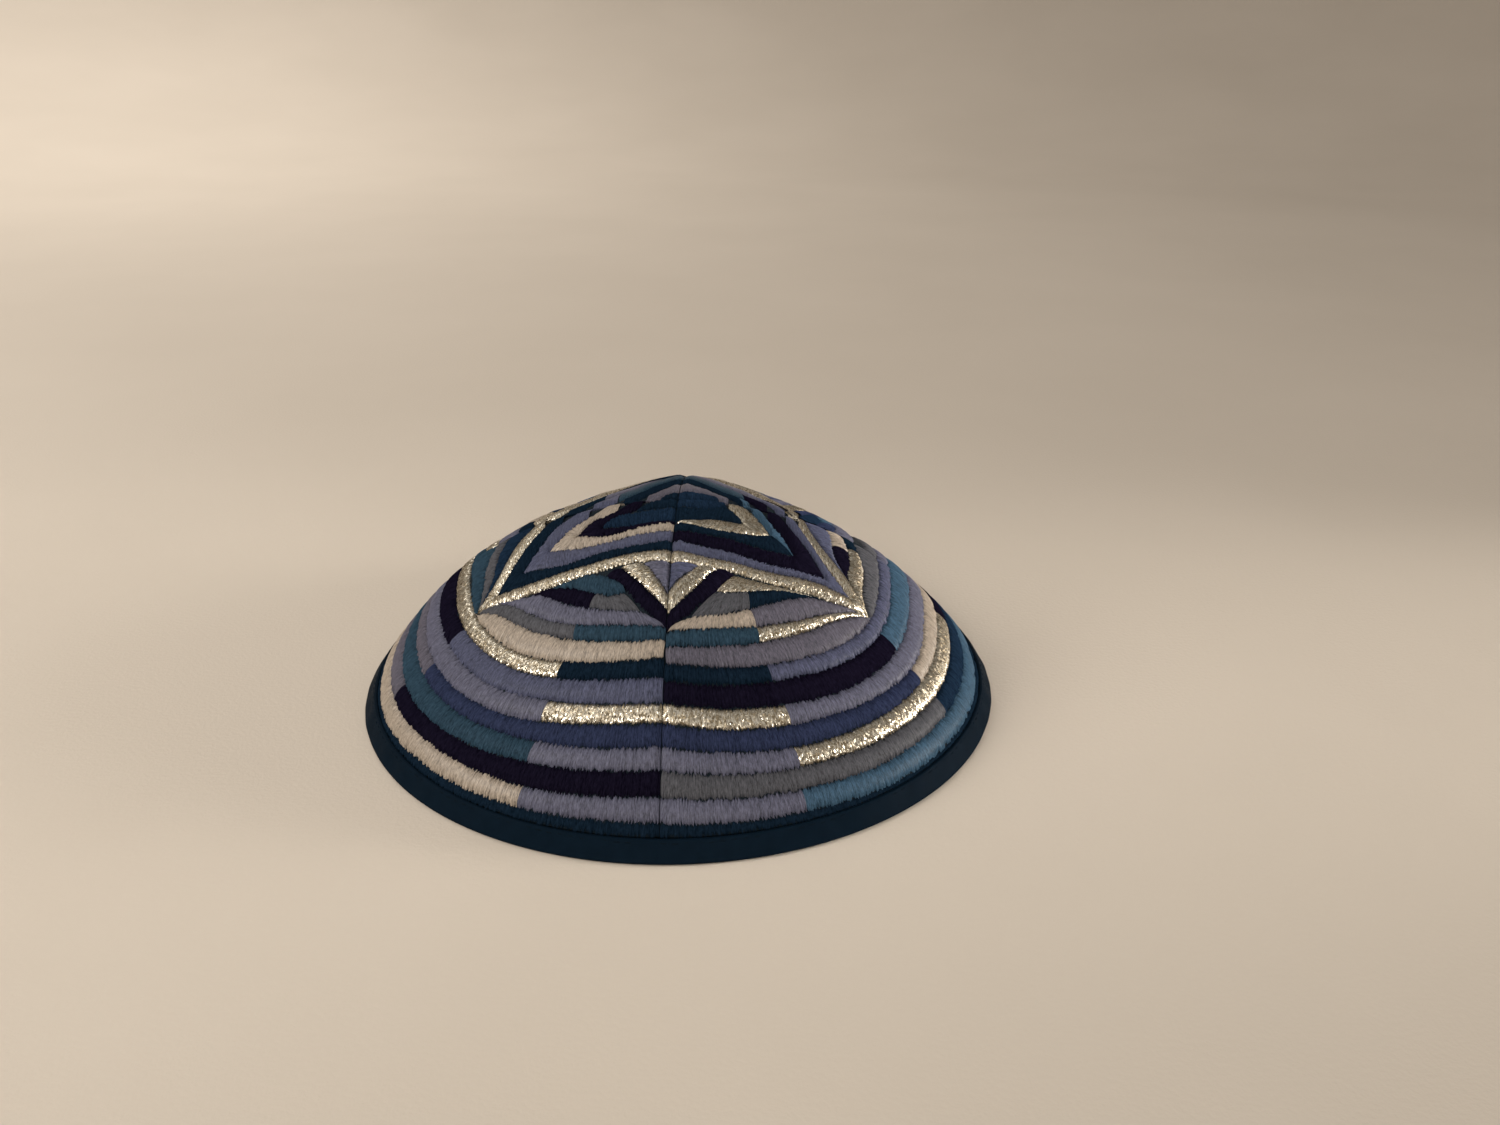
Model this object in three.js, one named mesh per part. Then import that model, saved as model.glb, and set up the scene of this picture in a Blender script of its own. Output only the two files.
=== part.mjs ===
// A kippah: a cap of four embroidered quarter panels, sewn at four seams and bound with satin tape at
// the rim. Millimetres, +Z up. It rests on its binding's foot at z = 0, with the crown on the Z axis.
// The front seam faces -Y, and azimuth turns from there towards +X.

import * as THREE from "three";

// Driving sizes of the whole cap
const rimRadius = 86;
const crownHeight = 53.6;
const panelHollow = 4.8; // how far the middle of a panel lies inside the curve of its seams

// Driving sizes of the cloth, the embroidery and the tape
const clothWall = 1.6;
const ribHeight = 0.7;
const tapeThickness = 1;
const tapeWidth = 6.2; // from the rim's foot up the slope
const tapeEdgeRound = 0.35;
const footInset = 0.9; // from the tape's two faces to its flat foot
const hemWidth = 1.6; // bare cloth between the lowest stripe and the tape, in the middle of a panel
const clearance = 0.3; // between any two pieces

// The star: three points of nested triangles, and how far they reach towards the round stripes
const starPoints = 3;
const starReach = 0.93;
const nestedTriangles = 6;
const fieldStripes = 3; // stripes that fill in between the star and the round stripes

// Share of a rib's width taken by the rise out of each groove
const ribShoulder = 0.2;

// Fineness of the faces
const columnsInPanel = 15;
const innerFaceRows = 11;
const curveSteps = 400;

const panelNames = ["panel_front_right", "panel_back_right", "panel_back_left", "panel_front_left"];
const panelSpan = 360 / panelNames.length;

// Sections from crown to rim: share of the way down, slope in degrees, share of the panels' hollow
const sections = [
  { along: 0.0, slope: 1, hollow: 0.0 },
  { along: 0.15, slope: 10, hollow: 0.2 },
  { along: 0.3, slope: 18, hollow: 0.5 },
  { along: 0.45, slope: 30, hollow: 0.8 },
  { along: 0.6, slope: 40.5, hollow: 1.0 },
  { along: 0.72, slope: 48.5, hollow: 0.7 },
  { along: 0.84, slope: 52, hollow: 0.2 },
  { along: 0.92, slope: 54.5, hollow: 0.05 },
  { along: 1.0, slope: 58, hollow: 0.0 },
];

// Edges of the round stripes: share of the way from the crown to the hem, at a seam and in a panel's middle
const stripeEdges = [
  { atSeam: 0.617, atMiddle: 0.644 },
  { atSeam: 0.662, atMiddle: 0.693 },
  { atSeam: 0.714, atMiddle: 0.755 },
  { atSeam: 0.76, atMiddle: 0.806 },
  { atSeam: 0.816, atMiddle: 0.852 },
  { atSeam: 0.867, atMiddle: 0.903 },
  { atSeam: 0.927, atMiddle: 0.952 },
  { atSeam: 0.987, atMiddle: 1.0 },
];

// The stripes run closest to the crown at the seams; this is how fast that dies out across a panel
const scallopReach = 0.6;

// Smooth value of one column of the sections table
function sectionValue(column, along) {
  const last = sections.length - 1;
  let i = 0;
  while (i < last - 1 && along > sections[i + 1].along) i += 1;
  const before = sections[Math.max(i - 1, 0)];
  const from = sections[i];
  const to = sections[i + 1];
  const after = sections[Math.min(i + 2, last)];
  const step = to.along - from.along;
  const slopeIn = ((to[column] - before[column]) / (to.along - before.along)) * step;
  const slopeOut = ((after[column] - from[column]) / (after.along - from.along)) * step;
  const u = THREE.MathUtils.clamp((along - from.along) / step, 0, 1);
  const u2 = u * u;
  const u3 = u2 * u;
  return (
    (2 * u3 - 3 * u2 + 1) * from[column] +
    (u3 - 2 * u2 + u) * slopeIn +
    (3 * u2 - 2 * u3) * to[column] +
    (u3 - u2) * slopeOut
  );
}

// The seam's curve, added up from short steps at the table's slopes, then sized to the rim and the crown
function makeSeamCurve() {
  const steps = curveSteps;
  const out = [0];
  const down = [0];
  for (let i = 0; i < steps; i += 1) {
    const slope = THREE.MathUtils.degToRad(sectionValue("slope", (i + 0.5) / steps));
    out.push(out[i] + Math.cos(slope));
    down.push(down[i] + Math.sin(slope));
  }
  const points = out.map(
    (value, i) =>
      new THREE.Vector2((value / out[steps]) * rimRadius, (1 - down[i] / down[steps]) * crownHeight),
  );
  let length = 0;
  for (let i = 0; i < steps; i += 1) length += points[i].distanceTo(points[i + 1]);
  return { points, length };
}
const seamCurve = makeSeamCurve();

// Point on the seam's curve and its outward normal, in (radius, height)
function seamPoint(along) {
  const place = THREE.MathUtils.clamp(along, 0, 1) * curveSteps;
  const i = Math.min(Math.floor(place), curveSteps - 1);
  const from = seamCurve.points[i];
  const to = seamCurve.points[i + 1];
  const point = from.clone().lerp(to, place - i);
  const tangent = to.clone().sub(from).normalize();
  return { point, normal: new THREE.Vector2(-tangent.y, tangent.x) };
}

// 1 at the middle of a panel, 0 at its seams
function middleness(azimuth) {
  return Math.abs(Math.sin((azimuth / panelSpan) * Math.PI));
}

// Radius and height of a point of the cap, a depth below its outer surface
function section(along, azimuth, depth) {
  const { point, normal } = seamPoint(along);
  const inward = depth + panelHollow * sectionValue("hollow", along) * middleness(azimuth);
  return point.clone().addScaledVector(normal, -inward);
}

function turned(flat, azimuth) {
  const angle = THREE.MathUtils.degToRad(azimuth);
  return [flat.x * Math.sin(angle), -flat.x * Math.cos(angle), flat.y];
}

// Share of the way down at a height up the slope from the rim, in millimetres
function alongFromRim(upSlope) {
  return 1 - upSlope / seamCurve.length;
}

const alongAtHem = alongFromRim(tapeWidth + clearance + hemWidth);

// Depths of the fold's channel and of the tape's inner face, and how far up the slope the channel starts
const channelDepth = ribHeight + clothWall + clearance;
const tapeInnerDepth = channelDepth + tapeThickness;
const rimSlope = THREE.MathUtils.degToRad(sections.at(-1).slope);
const channelStart = channelDepth / Math.tan(rimSlope) + tapeThickness;

// Share of the way down at which the cap has a plan radius
function alongAtRadius(radius) {
  let i = 1;
  while (i < curveSteps && seamCurve.points[i].x < radius) i += 1;
  const before = seamCurve.points[i - 1].x;
  return (i - 1 + (radius - before) / (seamCurve.points[i].x - before)) / curveSteps;
}

// A round stripe's edge rises towards each seam
function stripeEdge(edge, azimuth) {
  const atMiddle = Math.exp(-1 / scallopReach);
  const nearness = (Math.exp(-middleness(azimuth) / scallopReach) - atMiddle) / (1 - atMiddle);
  return alongAtHem * THREE.MathUtils.lerp(edge.atMiddle, edge.atSeam, nearness);
}

// Plan radius of the star's outer triangle, with one flat side towards the front seam
function triangleRadius(azimuth) {
  const halfSide = 180 / starPoints;
  const pointRadius = seamPoint(starReach * stripeEdge(stripeEdges[0], halfSide)).point.x;
  const fromSideMiddle = THREE.MathUtils.degToRad(((azimuth + halfSide) % (2 * halfSide)) - halfSide);
  return (pointRadius * Math.cos(THREE.MathUtils.degToRad(halfSide))) / Math.cos(fromSideMiddle);
}

// Rows of the outer face, crown to rim: each rib rises out of the groove before it to a flat crest
function outerRows(azimuth) {
  const rows = [];
  const starEdge = alongAtRadius(triangleRadius(azimuth));
  const firstStripe = stripeEdge(stripeEdges[0], azimuth);
  const addRib = (from, to) => {
    rows.push({ along: from, depth: ribHeight });
    rows.push({ along: THREE.MathUtils.lerp(from, to, ribShoulder), depth: 0 });
    rows.push({ along: THREE.MathUtils.lerp(to, from, ribShoulder), depth: 0 });
  };
  for (let i = 0; i < nestedTriangles; i += 1) {
    addRib((starEdge * i) / nestedTriangles, (starEdge * (i + 1)) / nestedTriangles);
  }
  const field = (firstStripe - starEdge) / fieldStripes;
  for (let i = 0; i < fieldStripes; i += 1) {
    addRib(starEdge + field * i, starEdge + field * (i + 1));
  }
  for (let i = 0; i < stripeEdges.length - 1; i += 1) {
    addRib(stripeEdge(stripeEdges[i], azimuth), stripeEdge(stripeEdges[i + 1], azimuth));
  }
  rows.push({ along: stripeEdge(stripeEdges.at(-1), azimuth), depth: ribHeight });
  rows.push({ along: alongFromRim(tapeWidth + clearance), depth: ribHeight });
  rows.push({ along: alongFromRim(tapeWidth + clearance), depth: tapeThickness + clearance });
  rows.push({ along: alongFromRim(channelStart + clearance), depth: tapeThickness + clearance });
  return rows.slice(1);
}

// Rows of the inner face, crown to rim
function innerRows() {
  const foot = alongFromRim(channelStart + clearance);
  const rows = [];
  for (let i = 1; i <= innerFaceRows; i += 1) {
    rows.push({ along: (foot * i) / innerFaceRows, depth: ribHeight + clothWall });
  }
  return rows;
}

// Columns are pressed together a little, so that a panel's sides stay half a clearance from its seams
function columnAzimuth(share, radius) {
  const margin = Math.asin(Math.min(clearance / 2 / radius, Math.SQRT1_2));
  return THREE.MathUtils.radToDeg(margin) + share * (panelSpan - 2 * THREE.MathUtils.radToDeg(margin));
}

// Lists of points, with the faces between them
class Shell {
  constructor() {
    this.positions = [];
    this.faces = [];
  }

  add(point) {
    this.positions.push(...point);
    return this.positions.length / 3 - 1;
  }

  quad(a, b, c, d) {
    this.faces.push(a, b, c, a, c, d);
  }

  // A flat side between an outer and an inner chain, both from the crown to the foot
  side(outer, inner, facesBack) {
    const corners = [...outer, ...inner.slice().reverse()];
    const outline = corners.map(({ flat }) => flat);
    for (const triangle of THREE.ShapeUtils.triangulateShape(outline, [])) {
      const turnsLeft = THREE.ShapeUtils.area(triangle.map((k) => outline[k])) > 0;
      const ids = triangle.map((k) => corners[k].id);
      if (turnsLeft !== facesBack) ids.reverse();
      this.faces.push(...ids);
    }
  }

  geometry() {
    const geometry = new THREE.BufferGeometry();
    geometry.setAttribute("position", new THREE.Float32BufferAttribute(this.positions, 3));
    geometry.setIndex(this.faces);
    geometry.computeVertexNormals();
    return geometry;
  }
}

// One quarter panel: an outer face with its ribs, a plain inner face, two sides and a foot
function makePanel(start) {
  const shell = new Shell();
  const crownPoint = (depth) => {
    const flat = new THREE.Vector2(clearance * Math.SQRT1_2, section(0, start, depth).y);
    return { id: shell.add(turned(flat, start + panelSpan / 2)), flat };
  };
  const column = (share, rows, crown) => {
    const azimuth = start + share * panelSpan;
    const chain = rows(azimuth).map(({ along, depth }) => {
      const flat = section(along, azimuth, depth);
      return { id: shell.add(turned(flat, start + columnAzimuth(share, flat.x))), flat };
    });
    return [crown, ...chain];
  };
  const shares = Array.from({ length: columnsInPanel + 1 }, (_, i) => i / columnsInPanel);
  const outerCrown = crownPoint(ribHeight);
  const innerCrown = crownPoint(ribHeight + clothWall);
  const outer = shares.map((share) => column(share, outerRows, outerCrown));
  const inner = shares.map((share) => column(share, innerRows, innerCrown));

  for (let j = 0; j < columnsInPanel; j += 1) {
    shell.faces.push(outerCrown.id, outer[j][1].id, outer[j + 1][1].id);
    shell.faces.push(innerCrown.id, inner[j + 1][1].id, inner[j][1].id);
    for (let i = 1; i < outer[j].length - 1; i += 1) {
      shell.quad(outer[j][i].id, outer[j][i + 1].id, outer[j + 1][i + 1].id, outer[j + 1][i].id);
    }
    for (let i = 1; i < inner[j].length - 1; i += 1) {
      shell.quad(inner[j][i].id, inner[j + 1][i].id, inner[j + 1][i + 1].id, inner[j][i + 1].id);
    }
    const outerFoot = [outer[j].at(-1).id, outer[j + 1].at(-1).id];
    const innerFoot = [inner[j].at(-1).id, inner[j + 1].at(-1).id];
    shell.quad(outerFoot[0], innerFoot[0], innerFoot[1], outerFoot[1]);
  }
  shell.side(outer[0], inner[0], true);
  shell.side(outer.at(-1), inner.at(-1), false);
  return shell.geometry();
}

// The tape's section at one azimuth: down its outer face, across its flat foot, up its inner face,
// and down and up the channel that holds the panels' edges
function tapeSection(azimuth) {
  const at = (upSlope, depth) => section(alongFromRim(upSlope), azimuth, depth);
  const foot = (depth) => {
    const point = at(depth / Math.tan(rimSlope), depth);
    return new THREE.Vector2(point.x, 0);
  };
  return [
    at(tapeWidth - tapeEdgeRound, 0),
    at((tapeWidth + tapeEdgeRound) / 2, 0),
    at(tapeEdgeRound * 2, 0),
    foot(footInset),
    foot(tapeInnerDepth - footInset),
    at(tapeInnerDepth / Math.tan(rimSlope) + tapeEdgeRound, tapeInnerDepth),
    at(tapeWidth - tapeEdgeRound, tapeInnerDepth),
    at(tapeWidth, tapeInnerDepth - tapeEdgeRound),
    at(tapeWidth, channelDepth),
    at(channelStart, channelDepth),
    at(channelStart, tapeThickness),
    at(tapeWidth, tapeThickness),
    at(tapeWidth, tapeEdgeRound),
  ];
}

function makeBinding() {
  const shell = new Shell();
  const columns = columnsInPanel * panelNames.length;
  const rings = [];
  for (let j = 0; j < columns; j += 1) {
    const azimuth = (j / columns) * 360;
    rings.push(tapeSection(azimuth).map((flat) => shell.add(turned(flat, azimuth))));
  }
  rings.forEach((ring, j) => {
    const next = rings[(j + 1) % columns];
    ring.forEach((id, i) => {
      const below = (i + 1) % ring.length;
      shell.quad(id, ring[below], next[below], next[i]);
    });
  });
  return shell.geometry();
}

// Finishes
const embroideredCloth = new THREE.MeshStandardMaterial({ color: 0x4a5878, roughness: 0.55, metalness: 0 });
const satinTape = new THREE.MeshStandardMaterial({ color: 0x0e2a3c, roughness: 0.4, metalness: 0 });

// The cap
const group = new THREE.Group();
panelNames.forEach((name, i) => {
  const panel = new THREE.Mesh(makePanel(i * panelSpan), embroideredCloth.clone());
  panel.name = name;
  group.add(panel);
});
const binding = new THREE.Mesh(makeBinding(), satinTape);
binding.name = "rim_binding";
group.add(binding);

export default group;
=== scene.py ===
# %% [markdown]
# # A kippah, embroidered in satin stitch
# The cap is four cloth quarters, sewn together at four seams and bound with satin tape. Nearly all of it
# is covered with embroidery: rows of thread laid side by side over padding, in rings round the rim and in
# a six-pointed star over the crown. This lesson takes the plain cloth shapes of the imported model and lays
# every thread of that embroidery over them.

import math

import bpy
import numpy as np
from mathutils import Matrix


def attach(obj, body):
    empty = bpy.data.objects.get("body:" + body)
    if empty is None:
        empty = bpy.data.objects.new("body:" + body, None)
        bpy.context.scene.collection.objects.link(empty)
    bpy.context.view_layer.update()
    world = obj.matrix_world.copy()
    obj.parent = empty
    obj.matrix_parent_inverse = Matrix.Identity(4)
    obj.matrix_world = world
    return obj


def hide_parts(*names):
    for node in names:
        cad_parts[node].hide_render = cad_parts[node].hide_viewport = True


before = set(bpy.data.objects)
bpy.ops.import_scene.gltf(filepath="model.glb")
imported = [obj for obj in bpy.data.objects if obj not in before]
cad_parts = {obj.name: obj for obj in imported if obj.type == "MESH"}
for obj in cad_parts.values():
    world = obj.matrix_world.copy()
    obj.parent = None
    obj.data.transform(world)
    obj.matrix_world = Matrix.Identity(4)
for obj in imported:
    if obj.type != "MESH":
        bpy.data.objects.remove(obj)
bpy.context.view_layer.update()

# %% [markdown]
# ## The camera
# The photograph was taken from a little above the rim, with a wide lens, a third of a metre away. The
# lens and the place were worked out from the rim's ellipse. A camera looks along its own -Z, so it is
# tipped up from straight down, turned round Z and rolled by a fifth of a degree. The Standard view transform
# shows the thread colours as they are set below.

# %% Place the camera
camera_place = (0.021935, -0.308910, 0.174441)
camera_turn, camera_below_level, camera_roll = 0.53, 24.363, 0.185
camera_data = bpy.data.cameras.new("photo_camera")
camera_data.sensor_width = 36.0
camera_data.lens = 30.17
camera_data.clip_start = 0.01
camera_data.clip_end = 20.0
camera = bpy.data.objects.new("photo_camera", camera_data)
bpy.context.collection.objects.link(camera)
camera.matrix_world = (
    Matrix.Translation(camera_place)
    @ Matrix.Rotation(math.radians(camera_turn), 4, "Z")
    @ Matrix.Rotation(math.radians(90 - camera_below_level), 4, "X")
    @ Matrix.Rotation(math.radians(camera_roll), 4, "Z")
)
bpy.context.scene.camera = camera
bpy.context.scene.view_settings.view_transform = "Standard"
print("camera", tuple(round(c, 3) for c in camera.location), "lens", camera_data.lens)

# %% [markdown]
# ## A helper for every surface
# Each piece below is worked out as whole arrays of points and faces. One helper puts such arrays into a
# mesh: `foreach_set` copies a flat array straight into Blender, which is far quicker than a loop. Values
# that a material reads later, such as each thread's colour tone with a painted shade in the hollows between
# threads, go in as named attributes.


# %% Turn arrays into a mesh
def make_piece(name, points, quads, materials, material_index=None, shade=None, run=None):
    """Mesh object from points (n, 3) in metres and quads (m, 4), with a UV map `run` given at each point."""
    mesh = bpy.data.meshes.new(name)
    mesh.vertices.add(len(points))
    mesh.vertices.foreach_set("co", np.ascontiguousarray(points, dtype=np.float32).ravel())
    mesh.loops.add(quads.size)
    mesh.loops.foreach_set("vertex_index", np.ascontiguousarray(quads, dtype=np.int32).ravel())
    mesh.polygons.add(len(quads))
    mesh.polygons.foreach_set("loop_start", np.arange(0, quads.size, 4, dtype=np.int32))
    mesh.polygons.foreach_set("loop_total", np.full(len(quads), 4, dtype=np.int32))
    mesh.polygons.foreach_set("use_smooth", np.ones(len(quads), dtype=bool))
    if material_index is not None:
        mesh.polygons.foreach_set("material_index", material_index.astype(np.int32))
    if run is not None:
        uv = mesh.uv_layers.new(name="thread_run")
        uv.data.foreach_set("uv", run[quads.ravel()].astype(np.float32).ravel())
    if shade is not None:
        attribute = mesh.attributes.new("thread_tone_and_hollow_shade", "FLOAT", "POINT")
        attribute.data.foreach_set("value", shade.astype(np.float32))
    mesh.update(calc_edges=True)
    mesh.validate()
    for material in materials:
        mesh.materials.append(material)
    piece = bpy.data.objects.new(name, mesh)
    bpy.context.collection.objects.link(piece)
    print(name, "points", len(points), "faces", len(quads))
    return piece


# %% [markdown]
# A material is a small graph of nodes. Four helpers keep the recipes short: they start a material, add a node
# with its values, add a mix of two colours, and draw the links between sockets.


# %% Add nodes and link them
def start_material(name, roughness, specular):
    """New material with its shader, roughness and specular level set as plain values."""
    material = bpy.data.materials.new(name)
    material.use_nodes = True
    shader = material.node_tree.nodes["Principled BSDF"]
    shader.inputs["Roughness"].default_value = roughness
    shader.inputs["Specular IOR Level"].default_value = specular
    return material, shader


def add_node(material, kind, values=None, **settings):
    """New node: first its settings, because they decide which sockets it has, and then its input values."""
    node = material.node_tree.nodes.new("ShaderNode" + kind)
    for key, value in settings.items():
        setattr(node, key, value)
    for key, value in (values or {}).items():
        node.inputs[key].default_value = value
    return node


def mixed_tint(material, dark, light):
    """Mix of two colours by its Factor."""
    return add_node(material, "Mix", {"A": (*dark, 1), "B": (*light, 1)}, data_type="RGBA")


def wire(material, *pairs):
    """Links, each from an output socket to an input socket."""
    for start, end in pairs:
        material.node_tree.links.new(start, end)


# %% [markdown]
# ## The floor
# The cap rests on a pale, slightly warm cloth. A sheet is enough: it is flat under the cap, and from about a
# metre away it bends gently up all round, like a wide bowl, so that no view shows a hard horizon.


# %% Lay the floor
def sweep_height(away, bend_start=1.1, bend_radius=1.3):
    """Distance out and height at a length along the floor: level, then a circle's arc, then straight up."""
    past = np.clip(away - bend_start, 0, None)
    angle = np.clip(past / bend_radius, 0, np.pi / 2)
    straight = np.clip(past - bend_radius * np.pi / 2, 0, None)
    out = np.where(past > 0, bend_start + bend_radius * np.sin(angle), away)
    return out, bend_radius * (1 - np.cos(angle)) + straight


floor_half = 3.0
floor_line = np.linspace(-floor_half, floor_half, 151)
floor_x, floor_y = np.meshgrid(floor_line, floor_line, indexing="ij")
floor_away = np.maximum(np.hypot(floor_x, floor_y), 1e-6)
floor_out, floor_up = sweep_height(floor_away)
floor_stretch = floor_out / floor_away
floor_points = np.stack([floor_x * floor_stretch, floor_y * floor_stretch, floor_up], axis=-1)
floor_ids = np.arange(floor_up.size).reshape(floor_up.shape)
floor_quads = np.stack(
    [floor_ids[:-1, :-1], floor_ids[1:, :-1], floor_ids[1:, 1:], floor_ids[:-1, 1:]], axis=-1
)

floor_cloth, shader = start_material("floor_cloth", 0.9, 0.2)
place = add_node(floor_cloth, "TexCoord")
mottle = add_node(floor_cloth, "TexNoise", {"Scale": 6.0, "Detail": 3.0})
tint = mixed_tint(floor_cloth, (0.57, 0.505, 0.43), (0.64, 0.57, 0.49))
weave = add_node(floor_cloth, "TexNoise", {"Scale": 900.0})
bump = add_node(floor_cloth, "Bump", {"Strength": 0.25, "Distance": 0.0004})
wire(
    floor_cloth,
    (place.outputs["Object"], mottle.inputs["Vector"]),
    (place.outputs["Object"], weave.inputs["Vector"]),
    (mottle.outputs["Fac"], tint.inputs["Factor"]),
    (tint.outputs["Result"], shader.inputs["Base Color"]),
    (weave.outputs["Fac"], bump.inputs["Height"]),
    (bump.outputs["Normal"], shader.inputs["Normal"]),
)

floor = make_piece("floor", floor_points.reshape(-1, 3), floor_quads.reshape(-1, 4), [floor_cloth])

# %% [markdown]
# ## The light
# The room light is soft and warm, so the cap's shadow is faint. A wide lamp stands for a window at the left.
# Silver thread looks right only when it has something bright to mirror, so a low lamp and a high one in front
# add the sparks. A weak lamp lights the right side, a wide one the floor behind, and a dim even sky the rest.


# %% Hang the lamps
def hang_lamp(name, place, aim, size, power, tint=(1.0, 0.95, 0.88), beam=180):
    """Square area lamp at a place, turned to look at a point, with a beam so many degrees wide."""
    data = bpy.data.lights.new(name, "AREA")
    data.shape = "SQUARE"
    data.size = size
    data.energy = power
    data.color = tint
    data.spread = math.radians(beam)
    lamp = bpy.data.objects.new(name, data)
    bpy.context.collection.objects.link(lamp)
    lamp.location = place
    toward = Matrix.Translation(place).inverted() @ Matrix.Translation(aim)
    lamp.rotation_euler = toward.translation.to_track_quat("-Z", "Y").to_euler()
    return lamp


hang_lamp("window_soft", (-0.7, -0.25, 0.55), (-0.1, 0, 0.0), 0.45, 4.4)
hang_lamp("front_low", (0.0, -1.1, 0.42), (0, 0, 0.03), 0.28, 4.7, (1.0, 0.96, 0.9))
hang_lamp("front_high", (0.3, -0.9, 0.9), (0, 0, 0.02), 0.5, 1.2)
hang_lamp("right_side", (0.5, 0.0, 0.13), (0.06, 0, 0.05), 0.2, 0.17, beam=35)
hang_lamp("back_wash", (-0.8, 0.95, 1.15), (-0.65, 1.1, 0), 0.8, 5.6, beam=110)

world = bpy.data.worlds.new("soft_room")
bpy.context.scene.world = world
world.use_nodes = True
world.node_tree.nodes["Background"].inputs["Color"].default_value = (0.95, 0.9, 0.84, 1)
world.node_tree.nodes["Background"].inputs["Strength"].default_value = 0.42

# %% [markdown]
# ## The shape of the cap
# The cap's outer surface is a function of two shares: how far down a point lies from the crown to the
# rim, and at which azimuth. A short table gives the slope at nine heights. Adding up small steps at those
# slopes draws the seam's curve, and between the seams the quarters lie a little hollow. These are the same
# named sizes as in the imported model, so every surface made here fits it.

# %% Sizes of the cap in millimetres
MM = 0.001
rim_radius = 86.0
crown_height = 53.6
panel_hollow = 4.8
cloth_wall = 1.6
rib_height = 0.7
stitch_height = 0.95
tape_thickness = 1.0
tape_width = 6.2
clearance = 0.3
panel_names = ["front_right", "back_right", "back_left", "front_left"]

# share of the way down, slope in degrees, share of the panels' hollow
sections = np.array(
    [
        (0.0, 1, 0.0),
        (0.15, 10, 0.2),
        (0.3, 18, 0.5),
        (0.45, 30, 0.8),
        (0.6, 40.5, 1.0),
        (0.72, 48.5, 0.7),
        (0.84, 52, 0.2),
        (0.92, 54.5, 0.05),
        (1.0, 58, 0.0),
    ]
)


# %% Read a smooth value out of the table
def cubic(u, start, slope_in, end, slope_out):
    """Cubic from start to end as u goes from 0 to 1, with the given slopes at both ends."""
    leaving = (2 * u**3 - 3 * u**2 + 1) * start + (u**3 - 2 * u**2 + u) * slope_in
    return leaving + (3 * u**2 - 2 * u**3) * end + (u**3 - u**2) * slope_out


def section_value(column, along):
    """Cubic between two rows whose slopes come from the rows on either side of them."""
    share, value = sections[:, 0], sections[:, column]
    last = len(share) - 1
    i = np.clip(np.searchsorted(share, along) - 1, 0, last - 1)
    before, after = np.maximum(i - 1, 0), np.minimum(i + 2, last)
    step = share[i + 1] - share[i]
    slope_in = (value[i + 1] - value[before]) / (share[i + 1] - share[before]) * step
    slope_out = (value[after] - value[i]) / (share[after] - share[i]) * step
    u = np.clip((along - share[i]) / step, 0, 1)
    return cubic(u, value[i], slope_in, value[i + 1], slope_out)


# %% Draw the seam's curve
curve_steps = 400
curve_share = np.linspace(0, 1, curve_steps + 1)
step_slope = np.radians(section_value(1, (np.arange(curve_steps) + 0.5) / curve_steps))
curve_radius = np.append(0, np.cumsum(np.cos(step_slope)))
curve_height = np.append(0, np.cumsum(np.sin(step_slope)))
curve_radius = curve_radius / curve_radius[-1] * rim_radius
curve_height = (1 - curve_height / curve_height[-1]) * crown_height
seam_length = np.hypot(np.diff(curve_radius), np.diff(curve_height)).sum()
tangent_out, tangent_up = np.gradient(curve_radius), np.gradient(curve_height)
tangent_size = np.hypot(tangent_out, tangent_up)
normal_out, normal_up = -tangent_up / tangent_size, tangent_out / tangent_size
print("a seam is", round(seam_length, 1), "mm long from crown to rim")


# %% [markdown]
# The seams are pulled tight, so the cloth dips into a narrow groove at each of them. Cloth sewn full of
# thread never lies quite even either, and a few long low waves stand for that.


# %% Find a point of the cap
def seam_dip(radius, azimuth):
    """How deep the cloth lies near a seam: 0.8 mm times a bell curve of the distance to it in millimetres."""
    nearest = np.round(azimuth / (np.pi / 2)) * (np.pi / 2)
    distance = radius * np.abs(azimuth - nearest)
    return 0.8 * np.exp(-(distance**2))


def unevenness(along, azimuth):
    """Long low waves, up to a quarter of a millimetre high, that fade out at the rim and the crown."""
    waves = np.sin(5 * azimuth + 9 * along) * np.sin(23 * along + 2 * azimuth)
    waves = waves + 0.6 * np.sin(11 * azimuth + 17 * along)
    return 0.16 * waves * np.sin(np.pi * np.clip(along, 0, 1)) ** 0.5


def cap_point(along, azimuth, depth=0.0, soft=True):
    """Point in metres: the seam's curve, moved inwards along its normal and turned round Z."""
    along, azimuth, depth = np.broadcast_arrays(along, azimuth, depth)
    inward = depth + panel_hollow * section_value(2, along) * np.abs(np.sin(2 * azimuth))
    radius = np.interp(along, curve_share, curve_radius)
    if soft:
        inward = inward + seam_dip(radius, azimuth) + unevenness(along, azimuth)
    out = radius - inward * np.interp(along, curve_share, normal_out)
    up = np.interp(along, curve_share, curve_height) - inward * np.interp(along, curve_share, normal_up)
    return np.stack([out * np.sin(azimuth), -out * np.cos(azimuth), up], axis=-1) * MM


def along_from_rim(up_slope):
    """Share of the way down at a distance up the slope from the rim, in millimetres."""
    return 1 - up_slope / seam_length


print("crown", cap_point(0.0, 0.0), "rim", cap_point(1.0, 0.0))
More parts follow.
